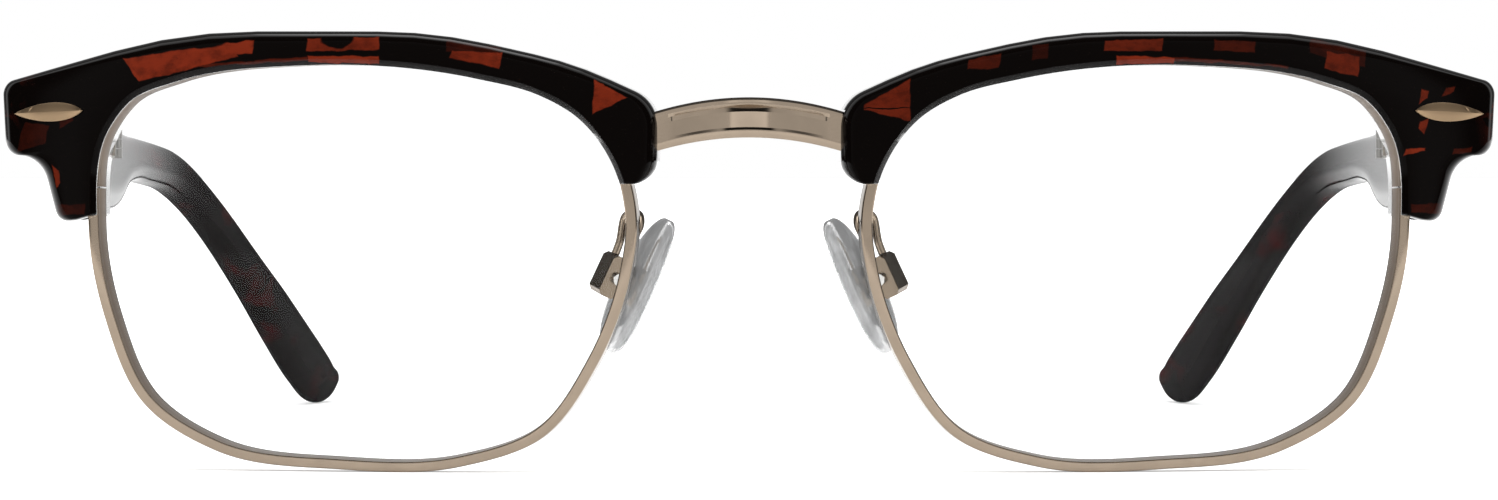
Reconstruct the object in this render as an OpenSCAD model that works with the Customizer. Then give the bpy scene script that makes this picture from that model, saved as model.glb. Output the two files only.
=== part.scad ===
// Browline glasses, open and standing on the lower rims and the temple tips.
// The fronts of the lenses face -Y, the temples run to +Y and the wearer's left is +X.
// Each piece is drawn for the wearer's left side and mirrored for the right one.

/* [Lenses and rims] */
// Width of a lens, measured as a box
lens_w = 51.1; // [48:0.5:53]
// Height of a lens, measured as a box
lens_h = 37.5; // [36:0.5:39.5]
// Gap between the two lenses at the nose
bridge_gap = 21.6; // [20:0.2:23.6]
// Radius of the ball that the lenses are cut from
lens_r = 120; // [105:1:160]
// How far each lens is turned back at its outer end, in degrees
wrap = 7; // [5.5:0.5:8]
// Thickness of a lens
lens_t = 1.2; // [1:0.1:1.4]
// Thickness of the rim wire, seen from the front
rim_t = 1.04; // [0.9:0.02:1.2]
// Depth of the rim wire from front to back
rim_d = 2.4; // [2.2:0.1:2.7]
// Depth of the groove in the rim that holds the lens
groove = 0.45; // [0.35:0.05:0.55]
// Height of the rim's split above the middle of the lens
split_v = 7; // [6.6:0.1:7.4]

/* [Brow caps] */
// Height of the cap above the top of the lens
brow_h = 2.9; // [2.6:0.1:4]
// Thickness of the cap in front of the middle of the lens edge
cap_front = 2.2; // [2.1:0.05:2.6]
// Thickness of the cap behind the middle of the lens edge
cap_back = 1.9; // [1.8:0.05:2.4]
// How far the cap reaches past the lens towards the nose
nose_w = 2.25; // [2.1:0.05:2.7]
// How far the cap reaches past the lens towards the ear
end_w = 9.65; // [9.2:0.05:10.4]
// Height of the block at the outer end
end_h = 6.9; // [6.4:0.1:7.2]
// Thickness of the block at the outer end
end_t = 3.7; // [3.4:0.1:4.4]
// How far the lobe under the block reaches past the lens
lobe_w = 5.5; // [4.9:0.05:5.6]

/* [Bridge] */
// Height of the bridge bar
bridge_h = 3.75; // [3.4:0.05:4.1]
// Thickness of the bridge bar
bridge_t = 1.5; // [1.3:0.05:1.7]
// Depth of the sunk panel in its front
panel_d = 0.3; // [0.2:0.05:0.4]

/* [Temples] */
// Length of a temple from the hinge to the tip, front to back
temple_l = 127.8; // [122:1:134]
// Height of the temple behind its flared end
temple_h = 4.25; // [3.9:0.05:4.7]
// Thickness of the temple
temple_t = 3.4; // [3.2:0.1:3.6]
// Height of the flared front end
flare_h = 10.7; // [10:0.1:11]
// Height of the rounded tip
tip_h = 7.9; // [7:0.1:8.4]
// Length of the straight stretch before the bend
straight_l = 51; // [46:1:56]

/* [Hinges] */
// Height of the five knuckles together
hinge_h = 4.75; // [4.5:0.05:5]
// Radius of a knuckle
knuckle_r = 1.15; // [1.05:0.05:1.25]
// Radius of the hinge screw
hinge_screw_r = 0.6; // [0.5:0.05:0.65]
// Thickness of the hinge plates
plate_t = 0.9; // [0.8:0.05:1]

/* [Nose pads] */
// Length of a nose pad
pad_l = 13.8; // [12.8:0.2:14.6]
// Width of a nose pad
pad_w = 7.4; // [6.8:0.1:8]
// Thickness of a nose pad
pad_t = 2; // [1.9:0.05:2.1]
// Lean of the pads from upright, seen from the front, in degrees
pad_lean = 25; // [22:1:28]
// Turn of the pads from front to back, in degrees
pad_splay = 25; // [22:1:28]
// Radius of the pad arm's wire
arm_r = 0.4; // [0.35:0.05:0.45]

/* [Hidden] */
$fn = 40;

// Gap left all round between two pieces that are fixed to each other
fit = 0.05;
// Radial clearance of a screw or pin in its hole
run = 0.03;
// Gap between a temple's front end and the cap it closes on
butt_gap = 0.3;

// Half sizes of the lens and the rim's reach inside and outside the lens edge
half_w = lens_w / 2;
half_h = lens_h / 2;
rim_in = groove;
rim_out = rim_t - rim_in;

// Outline of a lens edge, drawn in halves of its width and height
eye_points = [
    [1, 0.2], [0.957, 0.67], [0.865, 0.825], [0.69, 0.92], [0.22, 1], [-0.45, 0.93],
    [-0.67, 0.85], [-0.82, 0.73], [-0.955, 0.47], [-0.996, 0.22], [-0.973, -0.06], [-0.855, -0.49],
    [-0.665, -0.84], [-0.37, -0.985], [0.08, -1], [0.53, -0.915], [0.795, -0.69], [0.935, -0.28]];
eye = closed_curve([for (p = eye_points) [p.x * half_w, p.y * half_h]], 2);

// Place of a lens: its middle, with the rims standing on z = 0
lens_x = bridge_gap / 2 + half_w * cos(wrap);
lens_y = half_w * sin(wrap);
lens_z = -min([for (p = grow(eye, rim_out)) p.y]);
lens_sag = lens_r - sqrt(lens_r * lens_r - half_w * half_w);

// Colours
gold = [0.72, 0.64, 0.52];
pale_gold = [0.84, 0.8, 0.68];
tortoise = [0.17, 0.06, 0.04];
dark_tortoise = [0.1, 0.04, 0.03];
steel = [0.75, 0.75, 0.76];
clear = [0.78, 0.82, 0.84, 0.6];
clear_lens = [0.82, 0.88, 0.9, 0.35];

// Small helpers
function unit(v) = v / norm(v);
function lerp(a, b, t) = a + (b - a) * t;
function clamp(x, low, high) = max(low, min(high, x));
function ease(t) = let (k = clamp(t, 0, 1)) k * k * (3 - 2 * k);
function turn(p, a) = [p.x * cos(a) - p.y * sin(a), p.x * sin(a) + p.y * cos(a)];

// Smooth curves through a few points, a sample about every step
function cubic(b, c, m, n, t) = (2 * t^3 - 3 * t^2 + 1) * b + (t^3 - 2 * t^2 + t) * m
    + (3 * t^2 - 2 * t^3) * c + (t^3 - t^2) * n;
function slope(a, b, c) = let (d = norm(b - a), e = norm(c - b))
    ((b - a) * e / d + (c - b) * d / e) / (d + e);
function slope_at(p, i) = i == 0 ? unit(p[1] - p[0]) : i == len(p) - 1 ? unit(p[i] - p[i - 1])
    : slope(p[i - 1], p[i], p[i + 1]);
function closed_curve(p, step) = let (n = len(p)) [for (i = [0:n - 1])
    let (b = p[i], c = p[(i + 1) % n], l = norm(c - b), k = ceil(l / step),
        m = slope(p[(i + n - 1) % n], b, c) * l, q = slope(b, c, p[(i + 2) % n]) * l)
    for (j = [0:k - 1]) cubic(b, c, m, q, j / k)];
function open_curve(p, step) = concat([for (i = [0:len(p) - 2])
    let (b = p[i], c = p[i + 1], l = norm(c - b), k = ceil(l / step),
        m = slope_at(p, i) * l, q = slope_at(p, i + 1) * l)
    for (j = [0:k - 1]) cubic(b, c, m, q, j / k)], [p[len(p) - 1]]);

// A closed outline moved outwards by d
function grow(p, d) = let (n = len(p)) [for (i = [0:n - 1])
    let (t = unit(p[(i + 1) % n] - p[(i + n - 1) % n])) p[i] + d * [t.y, -t.x]];

// A line of corners, each [x, y, radius], with its corners rounded
function rounded(p) = [for (i = [0:len(p) - 1])
    each i == 0 || i == len(p) - 1 ? [[p[i].x, p[i].y]] : corner(p[i - 1], p[i], p[i + 1])];
function corner(a, b, c) = let (at = [b.x, b.y], d = unit([a.x, a.y] - at), e = unit([c.x, c.y] - at),
    half = acos(d * e) / 2, mid = at + unit(d + e) * b.z / sin(half), from = at + d * b.z / tan(half) - mid,
    sweep = (180 - 2 * half) * sign(e.x * d.y - e.y * d.x), k = max(2, ceil(abs(sweep) / 15)))
    [for (j = [0:k]) mid + turn(from, sweep * j / k)];
function dense(p, step) = concat([for (i = [0:len(p) - 2]) let (k = ceil(norm(p[i + 1] - p[i]) / step))
    for (j = [0:k - 1]) lerp(p[i], p[i + 1], j / k)], [p[len(p) - 1]]);

// Where the line from a, inside a closed outline, to b leaves it
function across(a, b) = a.x * b.y - a.y * b.x;
function leaves(p, a, b) = let (n = len(p)) [for (i = [0:n - 1])
    let (c = p[i], d = p[(i + 1) % n] - c, e = b - a, w = across(e, d),
        s = w == 0 ? -1 : across(c - a, d) / w, t = w == 0 ? -1 : across(c - a, e) / w)
    if (s > 0 && t >= 0 && t < 1) a + e * s][0];

// A solid skin over rings of points, closed at both ends
module loft(rings) {
    n = len(rings);
    m = len(rings[0]);
    sides = [for (i = [0:n - 2], j = [0:m - 1], k = [0, 1]) let (a = i * m + j, b = i * m + (j + 1) % m)
        k == 0 ? [a, b, b + m] : [a, b + m, a + m]];
    ends = [[for (j = [m - 1:-1:0]) j], [for (j = [0:m - 1]) (n - 1) * m + j]];
    polyhedron(points = [for (r = rings) each r], faces = concat(sides, ends), convexity = 6);
}

// Rings round a path, each a closed section [sideways, upwards] square to the path
function frame_at(path, i) = let (n = len(path), t = unit(path[min(i + 1, n - 1)] - path[max(i - 1, 0)]),
    s = unit(cross(t, [0, 0, 1])), u = cross(s, t)) [s, u];
function round_tube(path, r, sides, side_way) = [for (i = [0:len(path) - 1])
    let (n = len(path), t = unit(path[min(i + 1, n - 1)] - path[max(i - 1, 0)]),
        s = unit(cross(t, side_way)), u = cross(s, t))
    [for (k = [0:sides - 1]) path[i] - r * cos(360 * k / sides) * s + r * sin(360 * k / sides) * u]];

// The lens frame: u to the ear, v up, n back from the middle of the lens
function bulge(u, v) = lens_r - sqrt(lens_r * lens_r - u * u - v * v) - lens_sag;
function at(u, v, n) = let (p = turn([u, bulge(u, v) + n], wrap)) [lens_x + p.x, lens_y + p.y, lens_z + v];
module lens_frame() { translate([lens_x, lens_y, lens_z]) rotate([0, 0, wrap]) children(); }

// A straight-sided body over an outline in the lens frame, from n = low to n = high
module eye_prism(outline, low, high) {
    translate([0, high, 0]) rotate([90, 0, 0]) linear_extrude(high - low) polygon(outline);
}
// The same, but tapering towards the middle of the lens ball: the outline's size is its size at n = from
module eye_cone(outline, from, low, high) {
    far = lens_r - lens_sag;
    scale_at_high = (far - high) / (far - from);
    translate([0, high, 0]) rotate([90, 0, 0]) linear_extrude(high - low, scale = (far - low) / (far - high))
        polygon(outline * scale_at_high);
}
// The space between two balls about the lens curve
module ball_shell(low, high) {
    translate([0, lens_r - lens_sag, 0]) difference() {
        rotate([90, 0, 0]) sphere(lens_r - low, $fn = 160);
        rotate([90, 0, 0]) sphere(lens_r - high, $fn = 160);
    }
}
eye_deep = 12;
module side(left) { mirror([left ? 0 : 1, 0, 0]) children(); }
module placed(left) { translate([0, -depth_mid, 0]) side(left) children(); }

// Eyewire and lens
module eyewire(left) {
    slit = 0.15;
    color(gold) placed(left) lens_frame() difference() {
        intersection() {
            difference() {
                eye_prism(grow(eye, rim_out), -eye_deep, eye_deep);
                eye_cone(grow(eye, -rim_in), -rim_d / 2, -eye_deep - 1, eye_deep + 1);
            }
            ball_shell(-rim_d / 2, rim_d / 2);
        }
        intersection() {
            eye_prism(eye, -eye_deep, eye_deep);
            ball_shell(-lens_t / 2 - fit, lens_t / 2 + fit);
        }
        translate([half_w - 3, -eye_deep, split_v - slit / 2]) cube([6, 2 * eye_deep, slit]);
    }
}
module lens(left) {
    color(clear_lens) placed(left) lens_frame() intersection() {
        eye_prism(grow(eye, -fit), -eye_deep, eye_deep);
        ball_shell(-lens_t / 2, lens_t / 2);
    }
}

// Brow cap: the outer edge, from under the nose end over the brow to under the lobe
brow_v = half_h + brow_h;
nose_low = 7.3;
nose_high = 15;
nose_round = 1.8;
nose_shoulder = 3.7;
brow_fall = 4.8;
lobe_low = 3.75;
end_u = half_w + end_w;
lobe_u = half_w + lobe_w;
cap_edge = dense(rounded([
    [-half_w - nose_w + nose_round + 0.4, nose_low, 0],
    [-half_w - nose_w, nose_low, nose_round],
    [-half_w - nose_w - 0.05, nose_high, nose_shoulder],
    [-0.784 * half_w, brow_v - 3.05, 36],
    [-0.275 * half_w, brow_v - 0.1, 48],
    [0.663 * half_w, brow_v, 55],
    [end_u + 0.15, brow_v - brow_fall, 0.8],
    [end_u - 0.45, brow_v - brow_fall - end_h, 1.1],
    [lobe_u, brow_v - brow_fall - end_h - 0.15, 3],
    [lobe_u - 1.8, lobe_low, 1.4],
    [lobe_u - 3.5, lobe_low, 0]]), 3);
// The point inside the lens that an outer point's section is drawn towards
function focus(o) = [clamp(o.x, 8.5 - half_w, half_w - 8.5),
    o.x < 0 ? clamp(o.y + 0.3, nose_low + 0.3, 12) : clamp(o.y + 2.8, lobe_low + 2.8, 12.8)];

// Places set by the outer end of the cap
end_x = at(end_u, brow_v - brow_fall - end_h / 2, -cap_front).x;
end_y = at(end_u, brow_v - brow_fall - end_h / 2, -cap_front).y + end_t;
// The back of the cap, as a distance n behind the lens curve: flat where the temple closes on it
function back_of(u, v) = let (flat = (end_y - lens_y - u * sin(wrap)) / cos(wrap) - bulge(u, v))
    lerp(cap_back, flat, ease((u - half_w + 5.5) / 4.5));

// Closing blocks at the rim's split, set back as far as the lens curve is there
block_in = half_w + rim_out - 0.4;
block_w = 2.2;
block_h = 2.2;
block_d = 1.6;
block_gap = 0.16;
block_screw_u = block_in + 1.2;
block_back = bulge(block_screw_u, split_v);
rim_screw_r = 0.45;

// How far the cap's lips reach over the rim, half the width of its groove, and its front bevel
lip = 0.2;
seat = rim_d / 2 + 0.08;
bevel = 0.6;
// A section through the cap: a pair is [distance outwards, n], and where a third number stands, n is
// measured forwards from the back of the cap. In the lobe the groove widens to hold the closing blocks
function cap_section(o) = let (
    f = focus(o), i = leaves(grow(eye, lip - rim_in), f, o), g = leaves(grow(eye, rim_out + fit), f, o),
    e = unit(o - i), h = norm(o - i), k = norm(g - i), front = -cap_front,
    far = (block_in + block_w + 0.15 - i.x) / e.x,
    d = o.x > 0 && i.y + e.y * far < split_v + block_h + 0.7 ? min(far, h - 0.6) : k,
    r = min(1.3, 0.55 * (h - k)), q = min(0.9, 0.35 * (h - k)), c = min(0.35, 0.4 * (h - k)))
    [for (p = [[0, -seat], [0, -seat - 0.25], [bevel, front], [h - r, front],
        [h - 0.45 * r, front + 0.2 * r], [h - 0.1 * r, front + 0.6 * r], [h, front + 1.2 * r],
        [h, q, 1], [h - 0.3 * q, 0.3 * q, 1], [h - q, 0, 1], [k + c, 0, 1], [lip, 0.5, 1],
        [lip, seat], [d, seat], [d, -seat]])
        let (w = i + e * p.x) at(w.x, w.y, len(p) == 3 ? back_of(w.x, w.y) - p.y : p.y)];

// Middle of the leaf rivet on the cap's front, and its two shanks
rivet_u = half_w + 4.55;
rivet_v = 14.05;
rivet_at = at(rivet_u, rivet_v, -cap_front);
rivet_gap = 1.45;
rivet_r = 0.5;

// Inner face of the temple at its front end, middle of the hinge, and edges of the front plate
temple_in = end_x - 8.3;
hinge_x = temple_in - knuckle_r - 0.3;
hinge_y = end_y + 1.5;
hinge_z = lens_z + 12.05;
plate_low = hinge_z - 2.1;
plate_high = hinge_z + 3.4;
plate_in = hinge_x - 0.75;
plate_out = end_x - 1.6;
// The plate's lower edge steps up past the knuckles, to stay above the foot of the end block
plate_step = lens_z + brow_v - brow_fall - end_h + 0.5;
plate_tab = hinge_x + knuckle_r + 0.3;
module front_plate(extra, depth) {
    translate([plate_in - extra, 0, plate_low - extra])
        cube([plate_tab - plate_in + 2 * extra, depth, plate_high - plate_low + 2 * extra]);
    translate([plate_in - extra, 0, plate_step - extra])
        cube([plate_out - plate_in + 2 * extra, depth, plate_high - plate_step + 2 * extra]);
}

module brow_cap(left) {
    color(tortoise) placed(left) difference() {
        loft([for (o = cap_edge) cap_section(o)]);
        // Seat of the hinge plate and holes for the two rivet shanks
        translate([0, end_y - plate_t, 0]) front_plate(fit, 5);
        for (k = [-1, 1]) translate([rivet_at.x + k * rivet_gap, rivet_at.y - 3, rivet_at.z])
            rotate([-90, 0, 0]) cylinder(r = rivet_r + run, h = 12);
        // Pocket for the end of the bridge, and the hole of the screw that holds it
        translate([bridge_pocket, bridge_end_y - bridge_t / 2 - fit, bridge_low])
            cube([bridge_out + 1 - bridge_pocket, 8, bridge_h + 1]);
        translate([cap_screw_x, bridge_end_y - bridge_t / 2 - 1, cap_screw_z])
            rotate([-90, 0, 0]) cylinder(r = cap_screw_r + run, h = 3);
    }
}

// Leaf rivet: a raised leaf on the cap's front and two shanks to the hinge plate
leaf_l = 7.3;
leaf_w = 1.8;
module leaf() {
    tips = 12;
    rim_of_leaf = [for (k = [0:2 * tips - 1]) let (a = 180 * k / tips)
        [leaf_l / 2 * cos(a), leaf_w / 2 * sin(a) * abs(sin(a))^0.35]];
    loft([for (z = [2, 1, 0]) [for (p = rim_of_leaf)
        [p.x * (z == 2 ? 0.93 : 1), -0.12 * z - (z == 2 ? 0.3 : 0), p.y * (z == 2 ? 0.08 : 1)]]]);
}
module leaf_rivet(left) {
    yaw = wrap + asin(rivet_u / lens_r);
    color(pale_gold) placed(left) union() {
        translate(rivet_at) rotate([-asin(rivet_v / lens_r), 2.3, yaw]) translate([0, -0.02, 0]) leaf();
        for (k = [-1, 1]) {
            shank_y = rivet_at.y + k * rivet_gap * tan(yaw) - 0.1;
            translate([rivet_at.x + k * rivet_gap, shank_y, rivet_at.z])
                rotate([-90, 0, 0]) cylinder(r = rivet_r, h = end_y - shank_y);
        }
    }
}

// One of the two closing blocks, and the screw that draws them together
module rim_block(left, upper) {
    low = upper ? split_v + block_gap / 2 : split_v - block_gap / 2 - block_h;
    color(gold) placed(left) lens_frame() difference() {
        translate([block_in, block_back - block_d / 2, low]) cube([block_w, block_d, block_h]);
        eye_prism(grow(eye, rim_out + 0.02), -eye_deep, eye_deep);
        translate([block_screw_u, block_back, low - 1]) cylinder(r = rim_screw_r + run, h = block_h + 2);
    }
}
module rim_screw(left) {
    low = split_v - block_gap / 2 - block_h;
    color(steel) placed(left) lens_frame() translate([block_screw_u, block_back, low]) union() {
        cylinder(r = rim_screw_r, h = 2 * block_h - 0.2);
        difference() {
            translate([0, 0, -0.4]) cylinder(r = 0.65, h = 0.4);
            translate([-1, -0.12, -0.5]) cube([2, 0.24, 0.3]);
        }
    }
}

// Bridge: an arched bar with two rails and a sunk panel between them
bridge_top = 34.75;
bridge_z = lens_z - 19.35 + bridge_top - bridge_h / 2;
bridge_arch = 1.3;
bridge_bow = 1.7;
bridge_span = bridge_gap / 2 - 2.1;
bridge_end_y = 0.6;
bridge_y = bridge_end_y - bridge_bow;
bridge_low = bridge_z - bridge_arch - bridge_h / 2 - 0.9;
bridge_pocket = bridge_span - 0.9;
function bridge_mid(x) = let (k = x / bridge_span)
    [x, bridge_end_y - bridge_bow * (1 - ease(abs(k))), bridge_z - bridge_arch * k^2];
function bridge_section(x) = let (h = bridge_h / 2, t = bridge_t / 2,
    d = panel_d * ease((bridge_span - 1.25 - abs(x)) / 0.4), m = bridge_mid(x))
    [for (p = [[t - 0.3, -h], [-t + 0.3, -h], [-t, 0.3 - h], [-t, 0.85 - h], [d - t, 1.05 - h],
        [d - t, h - 1.35], [-t, h - 1.1], [-t, h - 0.5], [0.15 - t, h - 0.15], [0.5 - t, h],
        [t - 0.4, h], [t, h - 0.4], [t, 0.3 - h]]) m + [0, p.x, p.y]];
bridge_out = bridge_gap / 2 + 2.6;
bridge_steps = 40;
module bridge() {
    color(gold) translate([0, -depth_mid, 0]) difference() {
        loft([for (k = [0:bridge_steps]) bridge_section(lerp(-bridge_out, bridge_out, k / bridge_steps))]);
        for (left = [false, true]) side(left) {
            lens_frame() eye_prism(grow(eye, rim_out + 0.02), -eye_deep, eye_deep);
            translate([cap_screw_x, -4, cap_screw_z])
                rotate([-90, 0, 0]) cylinder(r = cap_screw_r + run, h = 8);
        }
    }
}

// Screw through the end of the bridge into the nose end of the cap
cap_screw_x = bridge_span + 1.3;
cap_screw_z = bridge_z - bridge_arch - 0.1;
cap_screw_r = 0.4;
module cap_screw(left) {
    color(steel) placed(left) translate([cap_screw_x, bridge_end_y + bridge_t / 2 + fit, cap_screw_z])
        rotate([-90, 0, 0]) union() {
        translate([0, 0, -bridge_t - 0.8]) cylinder(r = cap_screw_r, h = bridge_t + 1);
        difference() {
            cylinder(r = 0.75, h = 0.5);
            translate([-1, -0.12, 0.25]) cube([2, 0.24, 0.4]);
        }
    }
}

// Hinge: knuckles 0, 2 and 4 belong to the front, knuckles 1 and 3 to the temple
knuckle_gap = 0.06;
function knuckle_low(k) = hinge_z - hinge_h / 2 + k * hinge_h / 5 + knuckle_gap / 2;
knuckle_l = hinge_h / 5 - knuckle_gap;
module hinge_bore(r) { translate([hinge_x, hinge_y, hinge_z - 5]) cylinder(r = r, h = 10); }
module front_hinge(left) {
    color(gold) placed(left) difference() {
        union() {
            translate([0, end_y - plate_t + fit, 0]) front_plate(0, plate_t - fit);
            for (k = [0, 2, 4]) translate([0, 0, knuckle_low(k)]) {
                translate([hinge_x, hinge_y, 0]) cylinder(r = knuckle_r, h = knuckle_l);
                web = max(0, plate_low - knuckle_low(k));
                translate([plate_in, end_y - plate_t / 2, web])
                    cube([hinge_x + knuckle_r - plate_in, hinge_y - end_y + plate_t / 2, knuckle_l - web]);
            }
        }
        hinge_bore(hinge_screw_r + run);
        for (k = [-1, 1]) translate([rivet_at.x + k * rivet_gap, end_y - 3, rivet_at.z])
            rotate([-90, 0, 0]) cylinder(r = rivet_r + run, h = 6);
    }
}
module hinge_screw(left) {
    color(steel) placed(left) translate([hinge_x, hinge_y, hinge_z - hinge_h / 2]) union() {
        cylinder(r = hinge_screw_r, h = hinge_h);
        difference() {
            translate([0, 0, hinge_h]) cylinder(r = 0.95, h = 0.5);
            translate([-1, -0.13, hinge_h + 0.25]) cube([2, 0.26, 0.4]);
        }
    }
}
temple_plate_y = hinge_y - 0.6;
temple_plate_l = 8.5;
temple_plate_end = temple_plate_y + temple_plate_l;
module temple_hinge(left) {
    color(gold) placed(left) difference() {
        union() {
            translate([temple_in + fit, temple_plate_y, hinge_z - hinge_h / 2])
                cube([plate_t - fit, temple_plate_l, hinge_h]);
            for (k = [1, 3]) translate([0, 0, knuckle_low(k)]) {
                translate([hinge_x, hinge_y, 0]) cylinder(r = knuckle_r, h = knuckle_l);
                translate([hinge_x, hinge_y, 0]) cube([temple_in - hinge_x + 0.5, 1.15, knuckle_l]);
            }
        }
        hinge_bore(hinge_screw_r + run);
    }
}

// Temple: distances y run back from its front end
temple_y = end_y + butt_gap;
temple_z = lens_z + 11.3;
// Fall of the straight part, its lean inwards, and the further lean of the dropped part
pitch = 0.053;
toe = 0.045;
tuck = 0.143;
bend_l = 36;
// Where the lower edge of the tip touches the surface
touch_y = temple_l - 8;
tip_clear = 0.04;
// Steepness of the dropped part, so that the tips stand on the same surface as the rims
drop = (temple_z - pitch * touch_y - tip_h / 2 - tip_clear) / (touch_y - straight_l - bend_l / 2);
// Distance gained since the start of the bend
function bent(y) = let (s = max(0, y - straight_l)) s < bend_l ? s * s / (2 * bend_l) : s - bend_l / 2;
function toed(y) = let (s = max(0, y - 2)) s < 6 ? s * s / 12 : s - 3;
function temple_inner(y) = temple_in - toe * toed(y) - tuck * bent(y);
// Each row is [y, height, lift of the middle, thickness, squareness of the section]
temple_rows = [
    [0, flare_h, -1.4, temple_t + 0.1, 5],
    [9, flare_h - 1.8, -1.75, temple_t + 0.1, 5],
    [19, flare_h - 3, -1.55, temple_t, 4.5],
    [25, temple_h + 0.95, -0.6, temple_t, 4],
    [31, temple_h + 0.15, -0.15, temple_t, 3.6],
    [42, temple_h, 0, temple_t, 3.4],
    [straight_l + 8, temple_h - 0.05, 0, temple_t - 0.1, 3.2],
    [straight_l + 24, temple_h + 0.2, 0, temple_t - 0.2, 2.8],
    [temple_l - 33, lerp(temple_h, tip_h, 0.42), 0.1, temple_t - 0.2, 2.6],
    [temple_l - 23, lerp(temple_h, tip_h, 0.8), 0.1, temple_t - 0.1, 2.4],
    [temple_l - 13, tip_h, 0.05, temple_t - 0.1, 2.2],
    [temple_l - 7, tip_h - 0.5, 0.35, temple_t - 0.2, 2.2],
    [temple_l - 2.2, 0.62 * tip_h, 1.4, temple_t - 0.7, 2.2],
    [temple_l - 0.3, 0.28 * tip_h, 2.4, temple_t - 1.6, 2.2]];
function temple_mid(y, t, lift) =
    [temple_inner(y) + t / 2, temple_y + y, temple_z + lift - pitch * y - drop * bent(y)];
function bow(c, p) = sign(c) * abs(c)^(2 / p);
temple_samples = open_curve(temple_rows, 3.4);
temple_path = [for (r = temple_samples) temple_mid(r[0], r[3], r[2])];
temple_sides = 14;
module temple_solid() {
    loft([for (i = [0:len(temple_path) - 1])
        let (f = i == 0 ? [[1, 0, 0], [0, 0, 1]] : frame_at(temple_path, i), r = temple_samples[i])
        [for (k = [0:temple_sides - 1]) let (a = 360 * (k + 0.5) / temple_sides)
            temple_path[i] + r[3] / 2 * bow(cos(a), r[4]) * f[0] + r[1] / 2 * bow(sin(a), r[4]) * f[1]]]);
}
core_t = 1.1;
core_h = 1.9;
core_from = 4;
core_to = temple_l - 14;
core_steps = 24;
core_in = plate_t + 2 * fit + toe * toed(temple_plate_end - temple_y);
function core_path() = [for (k = [0:core_steps]) let (y = lerp(core_from, core_to, k / core_steps))
    temple_mid(y, 2 * core_in + core_t, lerp(0, 0.2, k / core_steps))];
module core_solid(extra) {
    path = core_path();
    loft([for (i = [0:core_steps]) let (f = frame_at(path, i), w = core_t / 2 + extra,
        h = core_h / 2 + extra, push = i == 0 ? -extra : i == core_steps ? extra : 0)
        [for (p = [[-w, -h], [w, -h], [w, h], [-w, h]]) path[i] + [0, push, 0] + p.x * f[0] + p.y * f[1]]]);
}
module temple(left) {
    color(dark_tortoise) placed(left) difference() {
        temple_solid();
        core_solid(fit);
        translate([temple_in - 1, temple_y - 1, hinge_z - hinge_h / 2 - fit])
            cube([plate_t + 1 + fit, temple_plate_end - temple_y + fit + 1, hinge_h + 2 * fit]);
    }
}
module temple_core(left) { color(steel) placed(left) core_solid(0); }

// Nose pad frame: x to the ear, y along the pad screw to the back, z up along the pad
pad_at = [lens_x - 23.3, 5.6, lens_z - 1.4];
module pad_frame() { translate(pad_at) rotate([0, -pad_lean, 0]) rotate([0, 0, -pad_splay]) children(); }
function in_pad(p) = let (q = turn([p.x, p.y], -pad_splay))
    pad_at + [q.x * cos(pad_lean) - p.z * sin(pad_lean), q.y, q.x * sin(pad_lean) + p.z * cos(pad_lean)];

pad_off = 2.5;
pad_up = 0.2;
insert_t = 0.5;
insert_l = 5.6;
insert_w = 3.2;
insert_in = 0.75 - pad_off;
tab_t = 1.3;
tab_r = 0.8;
box_w = 2.7;
box_l = 4;
box_out = 1.25;
pad_screw_r = 0.38;
pad_sides = 16;
pad_steps = 18;
pad_end = 83;
pad_hollow = 0.35;
// A ring of the pad at s, from -1 at its lower tip to 1 at its upper tip
function pad_ring(s) = let (c = sqrt(1 - s * s), w = pad_w / 2 * c^0.8 * (1 - 0.12 * s),
    t = pad_t / 2 * c^0.55)
    [for (k = [0:pad_sides - 1]) let (b = 360 * k / pad_sides)
        [t * bow(sin(b), 2.4) - pad_off - pad_hollow * s^2, w * bow(cos(b), 2.4), pad_up + pad_l / 2 * s]];
module nose_pad(left) {
    color(clear) placed(left) pad_frame() difference() {
        loft([for (i = [0:pad_steps]) pad_ring(sin(lerp(-pad_end, pad_end, i / pad_steps)))]);
        translate([insert_in - insert_t - fit, 0, 0]) rotate([0, 90, 0]) insert_plate(fit, 2);
    }
}
module insert_plate(extra, thick) {
    r = insert_w / 2 + extra;
    linear_extrude(thick) union() {
        square([insert_l - insert_w, 2 * r], center = true);
        for (k = [-1, 1]) translate([k * (insert_l - insert_w) / 2, 0]) circle(r);
    }
}
module pad_insert(left) {
    color(steel) placed(left) pad_frame() difference() {
        union() {
            translate([insert_in - insert_t, 0, 0]) rotate([0, 90, 0]) insert_plate(0, insert_t);
            translate([insert_in - insert_t / 2, -tab_t / 2, -tab_r])
                cube([insert_t / 2 - insert_in, tab_t, 2 * tab_r]);
            translate([0, tab_t / 2, 0]) rotate([90, 0, 0]) cylinder(r = tab_r, h = tab_t);
        }
        translate([0, 3, 0]) rotate([90, 0, 0]) cylinder(r = pad_screw_r + run, h = 6);
    }
}
module pad_box(left) {
    color(gold) placed(left) pad_frame() difference() {
        rotate([90, 0, 0]) linear_extrude(box_w, center = true)
            polygon([[-0.75, -1.3], [-0.25, -box_l / 2], [box_out - 0.4, -box_l / 2],
                [box_out, 0.4 - box_l / 2], [box_out, box_l / 2 - 0.4], [box_out - 0.4, box_l / 2],
                [-0.25, box_l / 2], [-0.75, 1.3]]);
        translate([-2, -tab_t / 2 - 0.08, 0.45 - box_l / 2])
            cube([box_out + 1.7, tab_t + 0.16, box_l - 0.9]);
        translate([0, 3, 0]) rotate([90, 0, 0]) cylinder(r = pad_screw_r + run, h = 6);
    }
}
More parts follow.
